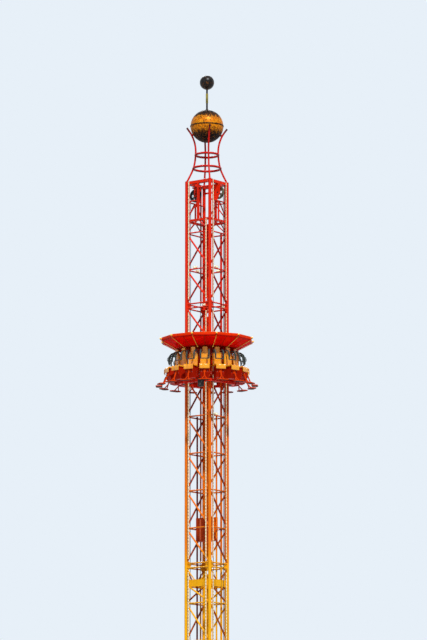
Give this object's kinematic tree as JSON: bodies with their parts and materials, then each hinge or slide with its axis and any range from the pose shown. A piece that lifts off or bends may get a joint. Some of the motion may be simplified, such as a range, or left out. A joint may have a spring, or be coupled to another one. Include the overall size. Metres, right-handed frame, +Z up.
{
  "type": "drop tower ride",
  "caption": "Lattice drop tower with a sliding ring of outward seats under a funnel canopy, lifting shoulder restraints, head sheaves, counterweight and two balls on top.",
  "frame": {"origin": "centre of the base frame's underside, on the tower axis", "axes": "+Z up the tower, +X and +Y square to its lattice faces; the sheaves stand in the -X and +X faces"},
  "size_m": [4.6778, 4.6778, 38.282],
  "materials": {
    "tower_yellow": "gloss paint",
    "tower_orange": "gloss paint",
    "tower_red": "gloss paint",
    "dark_red": "gloss paint",
    "rim_red": "gloss paint",
    "gold_paint": "gloss paint",
    "dark_paint": "gloss paint",
    "bronze_paint": "gloss paint",
    "brass": "dull brass",
    "steel": "greased steel",
    "strip_cream": "moulded plastic",
    "bulb_amber": "clear moulding",
    "seat_yellow": "glass-fibre shell",
    "restraint_foam": "moulded foam over steel",
    "black_plastic": "matt housing"
  },
  "bodies": {
    "tower": {"base_frame": "tower_yellow", "lower_chords": "tower_yellow", "middle_chords": "tower_orange", "upper_chords": "tower_red", "lower_lattice_x": "tower_yellow", "lower_lattice_y": "tower_yellow", "middle_lattice_x": "tower_orange", "middle_lattice_y": "tower_orange", "upper_lattice_x": "tower_red", "upper_lattice_y": "tower_red", "splice_flanges": "tower_orange", "light_strips": "strip_cream", "head_frame": "tower_red", "ropes": "steel", "counterweight_rails": "dark_red", "floodlights": "strip_cream", "cable_duct": "dark_red", "crown": "tower_red", "gold_ball": "gold_paint", "ball_band": "dark_paint", "finial_rod": "brass", "finial_ball": "bronze_paint"},
    "sheave_right": {"sheave_right": "steel"},
    "sheave_left": {"sheave_left": "steel"},
    "counterweight": {"counterweight": "tower_orange"},
    "gondola": {"carriage_frame": "tower_red", "guide_rollers": "steel", "seat_ring": "dark_red", "seat_pans": "seat_yellow", "seat_backs": "seat_yellow", "seat_boxes": "dark_red", "foot_rests": "tower_red", "canopy_frame": "tower_red", "canopy_panels": "dark_red", "canopy_rim": "rim_red", "canopy_deck": "tower_red", "canopy_lights": "bulb_amber", "control_box": "black_plastic"},
    "restraint_01": {"restraint_01": "restraint_foam"},
    "restraint_02": {"restraint_02": "restraint_foam"},
    "restraint_03": {"restraint_03": "restraint_foam"},
    "restraint_04": {"restraint_04": "restraint_foam"},
    "restraint_05": {"restraint_05": "restraint_foam"},
    "restraint_06": {"restraint_06": "restraint_foam"},
    "restraint_07": {"restraint_07": "restraint_foam"},
    "restraint_08": {"restraint_08": "restraint_foam"},
    "restraint_09": {"restraint_09": "restraint_foam"},
    "restraint_10": {"restraint_10": "restraint_foam"},
    "restraint_11": {"restraint_11": "restraint_foam"},
    "restraint_12": {"restraint_12": "restraint_foam"},
    "restraint_13": {"restraint_13": "restraint_foam"},
    "restraint_14": {"restraint_14": "restraint_foam"},
    "restraint_15": {"restraint_15": "restraint_foam"},
    "restraint_16": {"restraint_16": "restraint_foam"}
  },
  "joints": [
    {"name": "gondola_travel", "type": "slide", "parent": "tower", "child": "gondola", "axis": [0, 0, 1], "range_m": [-22.9, 5]},
    {"name": "counterweight_travel", "type": "slide", "parent": "tower", "child": "counterweight", "axis": [0, 0, 1], "range_m": [-0.85, 3.85]},
    {"name": "sheave_right_spin", "type": "hinge", "parent": "tower", "child": "sheave_right", "pos_m": [0.66, 0, 32.637], "axis": [0, 1, 0], "continuous": true},
    {"name": "sheave_left_spin", "type": "hinge", "parent": "tower", "child": "sheave_left", "pos_m": [-0.66, 0, 32.637], "axis": [0, 1, 0], "continuous": true},
    {"name": "restraint_01_lift", "type": "hinge", "parent": "gondola", "child": "restraint_01", "pos_m": [1.34858, 0.26825, 25.01], "axis": [0.1951, -0.9808, 0], "range_deg": [0, 60]},
    {"name": "restraint_02_lift", "type": "hinge", "parent": "gondola", "child": "restraint_02", "pos_m": [1.14327, 0.76391, 25.01], "axis": [0.5556, -0.8315, 0], "range_deg": [0, 60]},
    {"name": "restraint_03_lift", "type": "hinge", "parent": "gondola", "child": "restraint_03", "pos_m": [0.76391, 1.14327, 25.01], "axis": [0.8315, -0.5556, 0], "range_deg": [0, 60]},
    {"name": "restraint_04_lift", "type": "hinge", "parent": "gondola", "child": "restraint_04", "pos_m": [0.26825, 1.34858, 25.01], "axis": [0.9808, -0.1951, 0], "range_deg": [0, 60]},
    {"name": "restraint_05_lift", "type": "hinge", "parent": "gondola", "child": "restraint_05", "pos_m": [-0.26825, 1.34858, 25.01], "axis": [0.9808, 0.1951, 0], "range_deg": [0, 60]},
    {"name": "restraint_06_lift", "type": "hinge", "parent": "gondola", "child": "restraint_06", "pos_m": [-0.76391, 1.14327, 25.01], "axis": [0.8315, 0.5556, 0], "range_deg": [0, 60]},
    {"name": "restraint_07_lift", "type": "hinge", "parent": "gondola", "child": "restraint_07", "pos_m": [-1.14327, 0.76391, 25.01], "axis": [0.5556, 0.8315, 0], "range_deg": [0, 60]},
    {"name": "restraint_08_lift", "type": "hinge", "parent": "gondola", "child": "restraint_08", "pos_m": [-1.34858, 0.26825, 25.01], "axis": [0.1951, 0.9808, 0], "range_deg": [0, 60]},
    {"name": "restraint_09_lift", "type": "hinge", "parent": "gondola", "child": "restraint_09", "pos_m": [-1.34858, -0.26825, 25.01], "axis": [-0.1951, 0.9808, 0], "range_deg": [0, 60]},
    {"name": "restraint_10_lift", "type": "hinge", "parent": "gondola", "child": "restraint_10", "pos_m": [-1.14327, -0.76391, 25.01], "axis": [-0.5556, 0.8315, 0], "range_deg": [0, 60]},
    {"name": "restraint_11_lift", "type": "hinge", "parent": "gondola", "child": "restraint_11", "pos_m": [-0.76391, -1.14327, 25.01], "axis": [-0.8315, 0.5556, 0], "range_deg": [0, 60]},
    {"name": "restraint_12_lift", "type": "hinge", "parent": "gondola", "child": "restraint_12", "pos_m": [-0.26825, -1.34858, 25.01], "axis": [-0.9808, 0.1951, 0], "range_deg": [0, 60]},
    {"name": "restraint_13_lift", "type": "hinge", "parent": "gondola", "child": "restraint_13", "pos_m": [0.26825, -1.34858, 25.01], "axis": [-0.9808, -0.1951, 0], "range_deg": [0, 60]},
    {"name": "restraint_14_lift", "type": "hinge", "parent": "gondola", "child": "restraint_14", "pos_m": [0.76391, -1.14327, 25.01], "axis": [-0.8315, -0.5556, 0], "range_deg": [0, 60]},
    {"name": "restraint_15_lift", "type": "hinge", "parent": "gondola", "child": "restraint_15", "pos_m": [1.14327, -0.76391, 25.01], "axis": [-0.5556, -0.8315, 0], "range_deg": [0, 60]},
    {"name": "restraint_16_lift", "type": "hinge", "parent": "gondola", "child": "restraint_16", "pos_m": [1.34858, -0.26825, 25.01], "axis": [-0.1951, -0.9808, 0], "range_deg": [0, 60]}
  ],
  "couplings": [
    {"joint": "counterweight_travel", "follows": "gondola_travel", "ratio": -0.16667},
    {"joint": "sheave_right_spin", "follows": "gondola_travel", "rad_per_m": -3.4483},
    {"joint": "sheave_left_spin", "follows": "gondola_travel", "rad_per_m": 3.4483}
  ]
}
